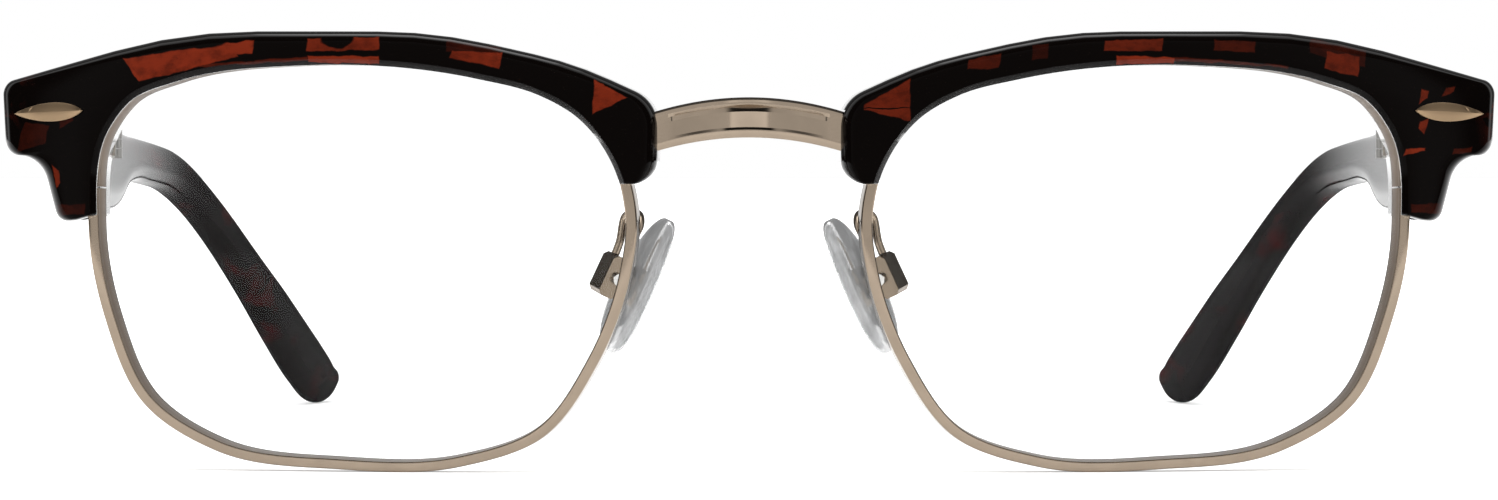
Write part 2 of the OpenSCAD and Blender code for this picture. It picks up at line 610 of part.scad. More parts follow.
module pad_screw(left) {
    color(steel) placed(left) pad_frame() rotate([-90, 0, 0]) union() {
        translate([0, 0, -box_w / 2 - 0.1]) cylinder(r = pad_screw_r, h = box_w + 0.1);
        difference() {
            translate([0, 0, -box_w / 2 - 0.5]) cylinder(r = 0.58, h = 0.45);
            translate([-1, -0.1, -box_w / 2 - 0.6]) cube([2, 0.2, 0.28]);
        }
    }
}
arm_from = at(-half_w - 0.05, 2.6, rim_d / 2 + 0.24);
arm_path = open_curve([
    arm_from, arm_from + [-0.35, 0.9, 0.8], arm_from + [-0.1, 3, 1.9], arm_from + [1, 4.4, 1.7],
    in_pad([0.7, 0.2, box_l / 2 + 1.1]), in_pad([0.7, 0, box_l / 2 + 0.03])], 0.6);
module pad_arm(left) { color(gold) placed(left) loft(round_tube(arm_path, arm_r, 10, [1, 0, 0])); }

// The middle of the depth, which is set on y = 0
front_y = bridge_y - bridge_t / 2;
depth_mid = (front_y + temple_y + temple_l) / 2;

eyewire(false);  // eyewire_right
eyewire(true);  // eyewire_left
lens(false);  // lens_right
lens(true);  // lens_left
bridge();
brow_cap(false);  // brow_cap_right
brow_cap(true);  // brow_cap_left
leaf_rivet(false);  // leaf_rivet_right
leaf_rivet(true);  // leaf_rivet_left
rim_block(false, true);  // rim_block_upper_right
rim_block(true, true);  // rim_block_upper_left
rim_block(false, false);  // rim_block_lower_right
rim_block(true, false);  // rim_block_lower_left
rim_screw(false);  // rim_screw_right
rim_screw(true);  // rim_screw_left
cap_screw(false);  // cap_screw_right
cap_screw(true);  // cap_screw_left
front_hinge(false);  // front_hinge_right
front_hinge(true);  // front_hinge_left
hinge_screw(false);  // hinge_screw_right
hinge_screw(true);  // hinge_screw_left
temple(false);  // temple_right
temple(true);  // temple_left
temple_hinge(false);  // temple_hinge_right
temple_hinge(true);  // temple_hinge_left
temple_core(false);  // temple_core_right
temple_core(true);  // temple_core_left
pad_arm(false);  // pad_arm_right
pad_arm(true);  // pad_arm_left
pad_box(false);  // pad_box_right
pad_box(true);  // pad_box_left
pad_screw(false);  // pad_screw_right
pad_screw(true);  // pad_screw_left
nose_pad(false);  // nose_pad_right
nose_pad(true);  // nose_pad_left
pad_insert(false);  // pad_insert_right
pad_insert(true);  // pad_insert_left
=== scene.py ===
"""Browline glasses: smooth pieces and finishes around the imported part.

The wearer's left is +X. Shapes are worked out in millimetres in the part's own drawing frame, in which
the inner edges of the lenses stand at y = 0, and are turned into metres in the shared frame when a mesh
is made.
"""

import math

import bmesh
import bpy
import numpy as np
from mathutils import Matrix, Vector

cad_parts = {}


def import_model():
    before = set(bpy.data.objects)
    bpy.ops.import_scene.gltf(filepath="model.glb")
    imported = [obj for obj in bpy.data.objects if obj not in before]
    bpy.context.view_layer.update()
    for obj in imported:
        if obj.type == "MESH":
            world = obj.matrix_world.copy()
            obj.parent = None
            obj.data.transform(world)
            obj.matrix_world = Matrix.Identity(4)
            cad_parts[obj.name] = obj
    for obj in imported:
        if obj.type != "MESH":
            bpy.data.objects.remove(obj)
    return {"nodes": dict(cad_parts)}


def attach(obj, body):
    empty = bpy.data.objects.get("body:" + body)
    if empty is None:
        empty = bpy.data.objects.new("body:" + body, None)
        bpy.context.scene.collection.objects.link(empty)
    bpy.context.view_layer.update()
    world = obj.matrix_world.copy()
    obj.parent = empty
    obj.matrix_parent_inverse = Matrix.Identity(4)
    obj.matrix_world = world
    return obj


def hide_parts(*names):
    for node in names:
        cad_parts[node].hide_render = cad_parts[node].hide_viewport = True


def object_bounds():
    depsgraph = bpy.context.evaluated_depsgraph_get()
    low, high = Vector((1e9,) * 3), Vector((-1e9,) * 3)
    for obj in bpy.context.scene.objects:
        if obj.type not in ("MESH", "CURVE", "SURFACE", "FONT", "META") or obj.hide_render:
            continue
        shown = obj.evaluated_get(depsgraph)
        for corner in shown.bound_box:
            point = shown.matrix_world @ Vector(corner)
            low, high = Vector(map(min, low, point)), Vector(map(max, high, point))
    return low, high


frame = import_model()
cad_low, cad_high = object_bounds()

# Sizes, in millimetres and radians
HALF_W, HALF_H = 25.55, 18.75
BRIDGE_GAP = 21.6
LENS_R, LENS_T, WRAP = 120.0, 1.2, math.radians(7)
RIM_IN, RIM_OUT, RIM_D = 0.45, 0.59, 2.4
SPLIT_V, SLIT = 7.0, 0.15
BLOCK_OUT, BLOCK_H = HALF_W + RIM_OUT + 1.8, 2.2
FIT = 0.05
CAP_FRONT, CAP_BACK = 2.2, 1.9
BROW_V = HALF_H + 2.9
NOSE_LOW, NOSE_HIGH, NOSE_ROUND, NOSE_SHOULDER, NOSE_W = 7.3, 15.0, 2.3, 3.7, 2.25
BROW_FALL, LOBE_LOW, END_H, END_T = 4.8, 3.75, 6.9, 3.7
END_U, LOBE_U = HALF_W + 9.65, HALF_W + 5.5
LIP, LIP_BACK, SEAT, BEVEL = 0.05, 0.5, RIM_D / 2 + 0.08, 0.6
END_ROUND = 1.1
KNUCKLE_R, PLATE_T, HINGE_H = 1.15, 0.9, 4.75
PLATE_LEAD, PLATE_L = 0.6, 8.5
BRIDGE_H, BRIDGE_T, PANEL_D = 3.75, 1.5, 0.3
BRIDGE_BOW, BRIDGE_ARCH = 1.7, 1.3
TEMPLE_L, TEMPLE_H, TEMPLE_T = 127.8, 4.25, 3.4
FLARE_H, TIP_H, STRAIGHT_L, BEND_L = 10.7, 7.9, 51.0, 36.0
PITCH, TOE, TUCK = 0.053, 0.045, 0.143
PAD_L, PAD_W, PAD_T = 13.8, 7.4, 2.0
PAD_LEAN, PAD_SPLAY = math.radians(25), math.radians(25)
PAD_OFF, PAD_UP, PAD_END, PAD_HOLLOW = 2.5, 0.2, math.radians(83), 0.35
ARM_R = 0.4
LEAF_L, LEAF_W = 7.3, 1.8
EYE = [
    (1, 0.2), (0.957, 0.67), (0.865, 0.825), (0.69, 0.92), (0.22, 1), (-0.45, 0.93),
    (-0.67, 0.85), (-0.82, 0.73), (-0.955, 0.47), (-0.996, 0.22), (-0.973, -0.06), (-0.855, -0.49),
    (-0.665, -0.84), (-0.37, -0.985), (0.08, -1), (0.53, -0.915), (0.795, -0.69), (0.935, -0.28)]


def unit(v):
    return v / np.linalg.norm(v)


def lerp(a, b, t):
    return a + (b - a) * t


def clamp(x, low, high):
    return max(low, min(high, x))


def ease(t):
    t = clamp(t, 0, 1)
    return t * t * (3 - 2 * t)


def bow(c, p):
    """A sine or cosine bent towards a square."""
    return math.copysign(abs(c) ** (2 / p), c)


def hermite(b, c, m, n, t):
    """A point at share t of the way from b to c, leaving along m and arriving along n."""
    return ((2 * t**3 - 3 * t**2 + 1) * b + (t**3 - 2 * t**2 + t) * m
            + (3 * t**2 - 2 * t**3) * c + (t**3 - t**2) * n)


def slope(a, b, c):
    """The direction of a smooth line at b, between a and c."""
    d, e = np.linalg.norm(b - a), np.linalg.norm(c - b)
    return ((b - a) * e / d + (c - b) * d / e) / (d + e)


def closed_curve(points, step):
    """A smooth closed line through points, with a sample about every step."""
    points = [np.array(p, float) for p in points]
    n, out = len(points), []
    for i, b in enumerate(points):
        a, c, d = points[i - 1], points[(i + 1) % n], points[(i + 2) % n]
        length = np.linalg.norm(c - b)
        k = math.ceil(length / step)
        out += [hermite(b, c, slope(a, b, c) * length, slope(b, c, d) * length, j / k) for j in range(k)]
    return np.array(out)


def open_curve(points, step):
    """A smooth line through points, with a sample about every step."""
    p = [np.array(q, float) for q in points]
    last = len(p) - 1

    def at_end(i):
        if i == 0:
            return unit(p[1] - p[0])
        return unit(p[i] - p[i - 1]) if i == last else slope(p[i - 1], p[i], p[i + 1])

    out = []
    for i in range(last):
        length = np.linalg.norm(p[i + 1] - p[i])
        k = math.ceil(length / step)
        start, end = at_end(i) * length, at_end(i + 1) * length
        out += [hermite(p[i], p[i + 1], start, end, j / k) for j in range(k)]
    return out + [p[last]]


def outward(loop):
    """Outward directions of a closed outline that runs anticlockwise."""
    t = np.roll(loop, -1, 0) - np.roll(loop, 1, 0)
    t /= np.linalg.norm(t, axis=1)[:, None]
    return np.stack([t[:, 1], -t[:, 0]], 1)


def grow(loop, d):
    """The outline moved outwards by d."""
    return loop + d * outward(loop)


def corner(a, b, c, r):
    """Points round the corner b of a line from a to c, with radius r."""
    if r == 0:
        return [b]
    d, e = unit(a - b), unit(c - b)
    half = math.acos(clamp(float(d @ e), -1, 1)) / 2
    mid = b + unit(d + e) * r / math.sin(half)
    start = b + d * r / math.tan(half) - mid
    sweep = (math.pi - 2 * half) * math.copysign(1, e[0] * d[1] - e[1] * d[0])
    k = max(3, math.ceil(abs(math.degrees(sweep)) / 6))
    return [mid + turn(start, sweep * j / k) for j in range(k + 1)]


def rounded(rows, step):
    """A line of corners, each [x, y, radius], with its corners rounded and a sample about every step."""
    p = [np.array(r[:2], float) for r in rows]
    line = [p[0]]
    for i in range(1, len(p) - 1):
        line += corner(p[i - 1], p[i], p[i + 1], rows[i][2])
    line.append(p[-1])
    out = []
    for a, b in zip(line, line[1:]):
        k = max(1, math.ceil(np.linalg.norm(b - a) / step))
        out += [lerp(a, b, j / k) for j in range(k)]
    return out + [line[-1]]


def turn(p, angle):
    c, s = math.cos(angle), math.sin(angle)
    return np.array([p[0] * c - p[1] * s, p[0] * s + p[1] * c])


def leaves(loop, a, b):
    """Where the line from a, inside a closed outline, through b leaves it."""
    c, d = loop, np.roll(loop, -1, 0) - loop
    e = b - a
    w = e[0] * d[:, 1] - e[1] * d[:, 0]
    w = np.where(w == 0, 1e-12, w)
    g = c - a
    s = (g[:, 0] * d[:, 1] - g[:, 1] * d[:, 0]) / w
    t = (g[:, 0] * e[1] - g[:, 1] * e[0]) / w
    s = s[(s > 0) & (t >= 0) & (t < 1)]
    return a + e * s.min()


# The lens and its own directions: u to the temple side, v up, n back
CAD_EYE = closed_curve([(x * HALF_W, y * HALF_H) for x, y in EYE], 2)
FINE_EYE = closed_curve([(x * HALF_W, y * HALF_H) for x, y in EYE], 0.5)
LENS_X = BRIDGE_GAP / 2 + HALF_W * math.cos(WRAP)
LENS_Y = HALF_W * math.sin(WRAP)
LENS_Z = -grow(CAD_EYE, RIM_OUT)[:, 1].min()
LENS_SAG = LENS_R - math.sqrt(LENS_R**2 - HALF_W**2)


def bulge(u, v):
    """How far behind the lens's own plane its curve lies; in its middle it stands in front of the plane."""
    return LENS_R - math.sqrt(LENS_R**2 - u * u - v * v) - LENS_SAG


def place(u, v, y):
    """A point of the lens's own plane, y behind it, in the drawing frame."""
    x, y = turn((u, y), WRAP)
    return np.array([LENS_X + x, LENS_Y + y, LENS_Z + v])


def at(u, v, n):
    """A point n behind the lens curve, measured along the lens's own depth."""
    return place(u, v, bulge(u, v) + n)


def on_ball(u, v, n, drawn=0.0):
    """A point n behind the lens curve, square to it; drawn is how far it leans to the ball's middle."""
    depth = LENS_R - LENS_SAG + RIM_D / 2
    k = (LENS_R - n) / math.sqrt(u * u + v * v + depth * depth)
    u, v = lerp(u, u * k, drawn), lerp(v, v * k, drawn)
    return place(u, v, LENS_R - LENS_SAG - math.sqrt((LENS_R - n) ** 2 - u * u - v * v))


# Places set by the outer end of the cap
END = at(END_U, BROW_V - BROW_FALL - END_H / 2, -CAP_FRONT)
END_X, END_Y = END[0], END[1] + END_T
TEMPLE_IN = END_X - 8.3
HINGE_X, HINGE_Y, HINGE_Z = TEMPLE_IN - KNUCKLE_R - 0.3, END_Y + 1.5, LENS_Z + 12.05
TEMPLE_Y, TEMPLE_Z = END_Y + 0.3, LENS_Z + 11.3
BRIDGE_Z = LENS_Z + 15.4 - BRIDGE_H / 2
BRIDGE_SPAN, BRIDGE_END_Y = BRIDGE_GAP / 2 - 2.1, 0.6
FRONT_Y = BRIDGE_END_Y - BRIDGE_BOW - BRIDGE_T / 2
DEPTH_MID = (FRONT_Y + TEMPLE_Y + TEMPLE_L) / 2

# Edges that turn by more than this many degrees stay crisp
CREASE = 32


def metres(points, side):
    """Points in the shared frame, kept inside the box of the part."""
    p = np.array(points, float)
    p[:, 0] *= side
    p[:, 1] -= DEPTH_MID
    return np.clip(p / 1000, np.array(cad_low), np.array(cad_high))


def make(name, points, faces, side, body, replaced, slot, material, sharp=CREASE):
    """A piece that rides on a body in place of a node; edges that turn by more than sharp stay crisp."""
    mesh = bpy.data.meshes.new(name)
    if side < 0:
        faces = [f[::-1] for f in faces]
    mesh.from_pydata(metres(points, side).tolist(), [], faces)
    mesh.validate()
    mesh.shade_smooth()
    mesh.set_sharp_from_angle(angle=math.radians(sharp))
    piece = bpy.data.objects.new(name, mesh)
    bpy.context.scene.collection.objects.link(piece)
    mesh.materials.append(material)
    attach(piece, body)
    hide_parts(replaced)
    return piece


def loft(rings):
    """Points and faces of a skin over rings of points, closed at both ends."""
    n, m = len(rings), len(rings[0])
    faces = [(i * m + j, i * m + (j + 1) % m, (i + 1) * m + (j + 1) % m, (i + 1) * m + j)
             for i in range(n - 1) for j in range(m)]
    faces += [tuple(range(m))[::-1], tuple(range((n - 1) * m, n * m))]
    return [p for r in rings for p in r], faces


def box_cutter(low, high, side):
    """A box between two corners."""
    mesh = bpy.data.meshes.new("cutter")
    grid = bmesh.new()
    bmesh.ops.create_cube(grid, size=1)
    low, high = np.array(low, float), np.array(high, float)
    for v in grid.verts:
        p = lerp(low, high, np.array(v.co) + 0.5)
        v.co = Vector((side * p[0] / 1000, (p[1] - DEPTH_MID) / 1000, p[2] / 1000))
    bmesh.ops.recalc_face_normals(grid, faces=grid.faces)
    grid.to_mesh(mesh)
    grid.free()
    piece = bpy.data.objects.new("cutter", mesh)
    bpy.context.scene.collection.objects.link(piece)
    return piece


def cut(piece, boxes, side):
    """Takes boxes, each a pair of corners, out of a piece."""
    cutters = [box_cutter(low, high, side) for low, high in boxes]
    for c in cutters:
        m = piece.modifiers.new("cut", "BOOLEAN")
        m.operation, m.object, m.solver = "DIFFERENCE", c, "EXACT"
    graph = bpy.context.evaluated_depsgraph_get()
    mesh = bpy.data.meshes.new_from_object(piece.evaluated_get(graph))
    piece.modifiers.clear()
    piece.data = mesh
    mesh.shade_smooth()
    mesh.set_sharp_from_angle(angle=math.radians(CREASE))
    for c in cutters:
        bpy.data.objects.remove(c)


class Nodes:
    """A node tree under construction; each input is a value or another node's output."""

    def __init__(self, tree):
        self.tree = tree
        tree.nodes.clear()

    def add(self, kind, inputs=None, **settings):
        node = self.tree.nodes.new(kind)
        for key, value in settings.items():
            setattr(node, key, value)
        for key, value in (inputs or {}).items():
            if isinstance(value, bpy.types.NodeSocket):
                self.tree.links.new(value, node.inputs[key])
            else:
                node.inputs[key].default_value = value
        return node

    def math(self, operation, a, b=0.0, c=0.0, limited=False):
        node = self.add("ShaderNodeMath", {0: a, 1: b, 2: c}, operation=operation, use_clamp=limited)
        return node.outputs[0]

    def step(self, value, low, high, a=0.0, b=1.0):
        """Rises smoothly from a to b as the value goes from low to high."""
        return self.add("ShaderNodeMapRange", {
            "Value": value, "From Min": low, "From Max": high, "To Min": a, "To Max": b},
            interpolation_type="SMOOTHSTEP").outputs[0]


class Finish(Nodes):
    """A node material under construction, with its places in millimetres."""

    def __init__(self, name):
        self.material = bpy.data.materials.new(name)
        self.material.use_nodes = True
        super().__init__(self.material.node_tree)
        place_of = self.add("ShaderNodeTexCoord").outputs["Object"]
        scaled = self.add("ShaderNodeVectorMath", {0: place_of, "Scale": 1000.0}, operation="SCALE")
        self.mm = scaled.outputs[0]

    def noise(self, scale, detail=3.0, stretch=(1, 1, 1), rough=0.5, distortion=0.0, shift=0.0):
        """Noise from 0 to 1 with about scale spots to the millimetre, drawn out along an axis by stretch."""
        moved = self.add("ShaderNodeMapping", {
            "Vector": self.mm, "Scale": tuple(1 / s for s in stretch),
            "Location": (shift, shift, shift)}).outputs[0]
        return self.add("ShaderNodeTexNoise", {
            "Vector": moved, "Scale": scale, "Detail": detail, "Roughness": rough,
            "Distortion": distortion}).outputs

    def mix(self, factor, a, b):
        """The colour between a and b."""
        node = self.tree.nodes.new("ShaderNodeMix")
        node.data_type = "RGBA"
        for key, value in ((0, factor), (6, a), (7, b)):
            if isinstance(value, bpy.types.NodeSocket):
                self.tree.links.new(value, node.inputs[key])
            else:
                node.inputs[key].default_value = value if key == 0 else (*value, 1)
        return node.outputs[2]

    def polished(self, colour, roughness, polish):
        """A dark body under a polished skin; polish scales the mirror part, stronger at grazing views."""
        body = self.add("ShaderNodeBsdfDiffuse", {"Color": colour}).outputs[0]
        skin = self.add("ShaderNodeBsdfGlossy", {"Color": (1, 1, 1, 1), "Roughness": roughness}).outputs[0]
        edge = self.math("SUBTRACT", self.add("ShaderNodeFresnel", {"IOR": 1.49}).outputs[0], 0.038)
        share = self.math("MULTIPLY", edge, polish, limited=True)
        return self.add("ShaderNodeMixShader", {0: share, 1: body, 2: skin}).outputs[0]

    def surface(self, shader):
        out = self.add("ShaderNodeOutputMaterial")
        self.tree.links.new(shader, out.inputs["Surface"])
        return self.material


def metal(name, colour, roughness):
    """Polished metal with a faint unevenness and fine wear."""
    f = Finish(name)
    broad, fine = f.noise(0.35)[0], f.noise(3.0, 4)[0]
    worn = f.mix(f.step(broad, 0.3, 0.7), [0.92 * c for c in colour], colour)
    shine = f.math("ADD", roughness, f.math("MULTIPLY", f.math("SUBTRACT", fine, 0.5), 0.03))
    dents = f.add("ShaderNodeBump", {"Height": fine, "Distance": 0.000001, "Strength": 1.0}).outputs[0]
    return f.surface(f.add("ShaderNodeBsdfPrincipled", {
        "Base Color": worn, "Metallic": 1.0, "Roughness": shine, "Normal": dents}).outputs[0])


# Red patches on the front of the caps, in millimetres: from x to x, middle z, rise of that middle towards +X,
# half height at the first x and at the second, lean of the two ends, strength
PATCHES = [
    (-58.7, -47.5, 38.5, 0.17, 1.1, 0.65, -0.7, 1.0), (-49.5, -46.3, 39.55, 0.1, 0.6, 0.6, 0.0, 1.0),
    (-41.2, -34.4, 39.95, 0.02, 0.65, 0.65, 0.0, 0.7), (-41.1, -34.4, 38.5, -0.02, 0.3, 0.36, 0.0, 1.3),
    (-52.0, -41.1, 38.25, 0.06, 0.12, 0.2, 0.0, 0.35), (-28.2, -23.1, 39.5, -0.1, 0.5, 0.4, 0.1, 0.12),
    (-27.8, -23.0, 38.7, -0.12, 0.35, 0.75, 0.2, 0.8), (-14.5, -11.3, 35.0, 0.0, 1.6, 0.0, 0.05, 0.85),
    (-68.8, -66.2, 31.4, 0.1, 1.5, 0.8, 0.3, 0.12), (-65.5, -64.9, 27.6, 0.0, 1.1, 0.6, -0.25, 0.7),
    (-65.2, -62.4, 24.5, 0.0, 0.5, 0.5, 0.0, 0.12), (-65.0, -63.6, 32.8, 0.5, 0.4, 0.2, 0.0, 0.15),
    (10.7, 15.0, 34.4, 0.17, 0.25, 1.95, 0.0, 0.6), (20.4, 23.3, 38.2, 0.15, 0.5, 0.7, 0.2, 0.25),
    (26.3, 27.8, 39.2, 0.1, 0.7, 0.7, 0.1, 0.1), (33.0, 38.5, 39.85, 0.02, 0.5, 0.6, 0.1, 0.5),
    (34.2, 39.6, 38.45, 0.0, 0.4, 0.28, 0.0, 1.3), (39.5, 50.5, 38.2, -0.07, 0.2, 0.12, 0.0, 0.3),
    (43.3, 47.3, 39.8, -0.05, 0.5, 0.55, 0.1, 0.22), (52.5, 58.0, 39.2, -0.22, 0.7, 0.8, 0.1, 0.12),
    (54.0, 57.3, 38.2, -0.2, 0.85, 0.95, 0.1, 0.55), (63.2, 64.0, 35.2, 0.3, 0.7, 0.3, 0.3, 0.7),
    (65.6, 66.6, 35.7, 0.2, 0.4, 0.2, 0.5, 0.4), (63.0, 63.8, 32.4, -0.2, 0.3, 0.8, 0.25, 0.7),
    (61.7, 63.6, 30.0, 0.1, 0.35, 0.15, 0.3, 1.0), (66.4, 68.3, 30.0, 0.1, 0.3, 0.2, 0.3, 0.2),
    (62.2, 65.2, 24.6, 0.0, 0.4, 0.5, 0.0, 0.15)]
# Black spots within them: middle x, middle z, half width, half height
SPOTS = [(-51.2, 40.4, 2.6, 0.8), (-38.4, 40.5, 1.6, 0.95), (12.9, 33.95, 2.4, 0.07), (-44.0, 40.6, 0.5, 0.2)]


def tortoise():
    """Glossy tortoiseshell acetate: near black with deep red patches."""
    f = Finish("tortoise_acetate")
    wander = f.add("ShaderNodeVectorMath", {0: f.noise(0.7, 3)[1], 1: (0.5, 0.5, 0.5)}, operation="SUBTRACT")
    wander = f.add("ShaderNodeVectorMath", {0: wander.outputs[0], "Scale": 0.5}, operation="SCALE").outputs[0]
    moved = f.add("ShaderNodeVectorMath", {0: f.mm, 1: wander}, operation="ADD").outputs[0]
    x, y, z = f.add("ShaderNodeSeparateXYZ", {0: moved}).outputs
    mask = 0.0
    for x0, x1, zc, rise, h0, h1, lean, strength in PATCHES:
        up = f.math("SUBTRACT", z, zc)
        t = f.math("MULTIPLY_ADD", up, -lean, x)
        t = f.math("DIVIDE", f.math("SUBTRACT", t, x0), x1 - x0)
        ends = f.math("MULTIPLY", f.math("MINIMUM", t, f.math("SUBTRACT", 1.0, t)), x1 - x0)
        off = f.math("ABSOLUTE", f.math("SUBTRACT", up, f.math("MULTIPLY_ADD", t, rise * (x1 - x0),
                                                               -rise * (x1 - x0) / 2)))
        sides = f.math("SUBTRACT", f.math("MULTIPLY_ADD", t, h1 - h0, h0), off)
        mask = f.math("MAXIMUM", mask, f.step(f.math("MINIMUM", ends, sides), -0.05, 0.1, 0.0, strength))
    for px, pz, w, h in SPOTS:
        dx = f.math("POWER", f.math("DIVIDE", f.math("SUBTRACT", x, px), w), 2.0)
        dz = f.math("POWER", f.math("DIVIDE", f.math("SUBTRACT", z, pz), h), 2.0)
        mask = f.math("MULTIPLY", mask, f.step(f.math("ADD", dx, dz), 0.8, 1.2))
    cloud = f.noise(0.9, 5, stretch=(1.5, 1, 1), rough=0.62)[0]
    veins = f.noise(0.28, 4, stretch=(1, 1, 0.8), distortion=1.2, shift=7.0)[0]
    # The patches lie on the front; elsewhere broad veins take their place
    front = f.step(y, -58.0, -62.0)
    glow = f.math("MULTIPLY", f.math("MULTIPLY", mask, front), f.step(cloud, 0.3, 0.6, 0.55, 1.0))
    faint = f.math("MULTIPLY", f.step(veins, 0.5, 0.56, 0.0, 0.7), f.step(cloud, 0.35, 0.6))
    faint = f.math("MULTIPLY", faint, f.math("SUBTRACT", 1.0, front))
    glow = f.math("MAXIMUM", glow, faint)
    colour = f.mix(glow, (0.002, 0.0013, 0.0011), (0.16, 0.018, 0.006))
    return f.surface(f.polished(colour, f.step(cloud, 0.2, 0.8, 0.07, 0.11), 2.0))


def dark_tortoise():
    """Glossy acetate of the temples: near black with dark red streaks along them."""
    f = Finish("dark_tortoise_acetate")
    streak = f.noise(0.3, 5, stretch=(1, 7, 1.6), rough=0.6, distortion=0.5)[0]
    cloud = f.noise(0.12, 3, stretch=(1, 2, 1), shift=3.0)[0]
    glow = f.math("MULTIPLY", f.step(streak, 0.5, 0.68), f.step(cloud, 0.4, 0.62))
    colour = f.mix(glow, (0.003, 0.002, 0.002), (0.04, 0.005, 0.005))
    depth = f.add("ShaderNodeSeparateXYZ", {0: f.mm}).outputs[1]
    # The shine fades towards the tips
    polish = f.step(depth, -50.0, 10.0, 1.3, 0.05)
    return f.surface(f.polished(colour, f.step(cloud, 0.2, 0.8, 0.1, 0.14), polish))


def clear(name, tint, ior, roughness, shade, milk=0.0):
    """See-through plastic that lets most of the light through; milk is the share of cloudy body in it."""
    f = Finish(name)
    fine, broad = f.noise(1.6, 4)[0], f.noise(0.5, 3, stretch=(1, 1, 3), distortion=0.6)[0]
    body = f.add("ShaderNodeBsdfPrincipled", {
        "Base Color": f.mix(f.step(broad, 0.35, 0.65), [c * (0.99 - 0.6 * milk) for c in tint], tint),
        "Roughness": f.step(fine, 0.2, 0.8, roughness * 0.6, roughness * 1.4 + 0.002),
        "IOR": ior, "Transmission Weight": 1.0 - milk}).outputs[0]
    through = f.add("ShaderNodeBsdfTransparent", {"Color": (*shade, 1)}).outputs[0]
    ray = f.add("ShaderNodeLightPath").outputs["Is Shadow Ray"]
    return f.surface(f.add("ShaderNodeMixShader", {0: ray, 1: body, 2: through}).outputs[0])


GOLD = metal("pale_gold", (0.355, 0.284, 0.216), 0.1)
# A darker copy of the rim gold for the wall that faces the lens: painted shade
SHADED_WALL = metal("rim_inside_painted_shade", (0.1, 0.065, 0.038), 0.35)
BRASS = metal("leaf_gold", (0.4, 0.28, 0.17), 0.4)
NICKEL = metal("hinge_nickel", (0.45, 0.44, 0.42), 0.28)
BOX = metal("box_gold", (0.24, 0.19, 0.14), 0.2)
STEEL = metal("bright_steel", (0.66, 0.65, 0.63), 0.22)
CORE = metal("core_steel", (0.5, 0.5, 0.5), 0.3)
TORTOISE = tortoise()
DARK = dark_tortoise()
LENS = clear("clear_lens", (0.99, 0.995, 0.995), 1.15, 0.004, (0.95, 0.96, 0.96))
PAD = clear("clear_silicone", (0.55, 0.555, 0.56), 1.3, 0.1, (0.72, 0.72, 0.72), 0.5)


def arc(cx, cy, rx, ry, start, end, count):
    """Points on an ellipse about cx, cy, from one angle to another in degrees."""
    return [(cx + rx * math.cos(a), cy + ry * math.sin(a))
            for a in (math.radians(lerp(start, end, k / count)) for k in range(count + 1))]


def eyewire(side, name):
    """The rim, swept round the lens from one side of its split to the other."""
    d, r, q = RIM_D / 2, 0.17, 0.22
    front = arc(RIM_OUT - r, -d + r, r, r, 0, -90, 5) + arc(-RIM_IN + r, -d + r, r, r, -90, -180, 5)
    section = front + arc(-RIM_IN + q, d - q, q, q, 180, 90, 3) + arc(RIM_OUT - q, d - q, q, q, 90, 0, 3)
    way = outward(FINE_EYE)
    above = [i for i, (u, v) in enumerate(FINE_EYE) if u > 0 and FINE_EYE[i - 1][1] <= SPLIT_V < v][0]
    order = [(above + k) % len(FINE_EYE) for k in range(len(FINE_EYE))]
    points = [FINE_EYE[i] for i in order]
    ways = [way[i] for i in order]
    a, b = points[-1], points[0]

    def between(v):
        t = (v - a[1]) / (b[1] - a[1])
        return lerp(a, b, t), unit(lerp(ways[-1], ways[0], t))

    start, end = between(SPLIT_V + SLIT / 2), between(SPLIT_V - SLIT / 2)
    points = [start[0]] + points + [end[0]]
    ways = [start[1]] + ways + [end[1]]
    rings = []
    for p, w in zip(points, ways):
        # Under the cap the rim is slimmer inwards
        slim = ease((p[1] - 6) / 5)
        rings.append([on_ball(*(p + w * s * (1 - 0.3 * slim if s < 0 else 1)), n,
                              clamp((RIM_OUT - s) / (RIM_IN + RIM_OUT), 0, 1) * 0.4)
                      for s, n in section])
    piece = make(f"rim_{name}", *loft(rings), side, "front", f"eyewire_{name}", "rim_metal", GOLD)
    # The wall that faces the lens takes a darker copy of the gold: painted shade
    piece.data.materials.append(SHADED_WALL)
    for face in piece.data.polygons:
        if face.index % len(section) in (len(front) - 2, len(front) - 1):
            face.material_index = 1
    return piece


def lens(side, name):
    """The lens, in rings from the middle of its front over the edge to the middle of its back."""
    edge = grow(FINE_EYE, -FIT)
    share = [0.03, 0.2, 0.4, 0.6, 0.8, 0.95, 1]
    rings = [[on_ball(*(p * s), -LENS_T / 2) for p in edge] for s in share]
    rings += [[on_ball(*(p * s), LENS_T / 2) for p in edge] for s in share[::-1]]
    return make(f"glass_{name}", *loft(rings), side, "front", f"lens_{name}", "lens", LENS)


# The outer edge of the cap, from its nose end over the brow to its lobe; each row is u, v, radius
CAP_EDGE = rounded([
    (-HALF_W - NOSE_W + NOSE_ROUND + 0.1, NOSE_LOW, 0), (-HALF_W - NOSE_W, NOSE_LOW, NOSE_ROUND),
    (-HALF_W - NOSE_W - 0.05, NOSE_HIGH, NOSE_SHOULDER), (-0.784 * HALF_W, BROW_V - 3.05, 36),
    (-0.275 * HALF_W, BROW_V - 0.1, 48), (0.663 * HALF_W, BROW_V, 55),
    (END_U + 0.15, BROW_V - BROW_FALL, 1.4), (END_U - 0.45, BROW_V - BROW_FALL - END_H, 1.7),
    (LOBE_U, BROW_V - BROW_FALL - END_H - 0.15, 3),
    (LOBE_U - 1.8, LOBE_LOW, 1.4), (LOBE_U - 3.5, LOBE_LOW, 0)], 0.35)


def back_of(u, v):
    """How far behind the lens curve the back of the cap lies; the outer end reaches back to a flat face."""
    flat = (END_Y - LENS_Y - u * math.sin(WRAP)) / math.cos(WRAP) - bulge(u, v)
    return lerp(CAP_BACK, flat, ease((u - HALF_W + 5.5) / 4.5))


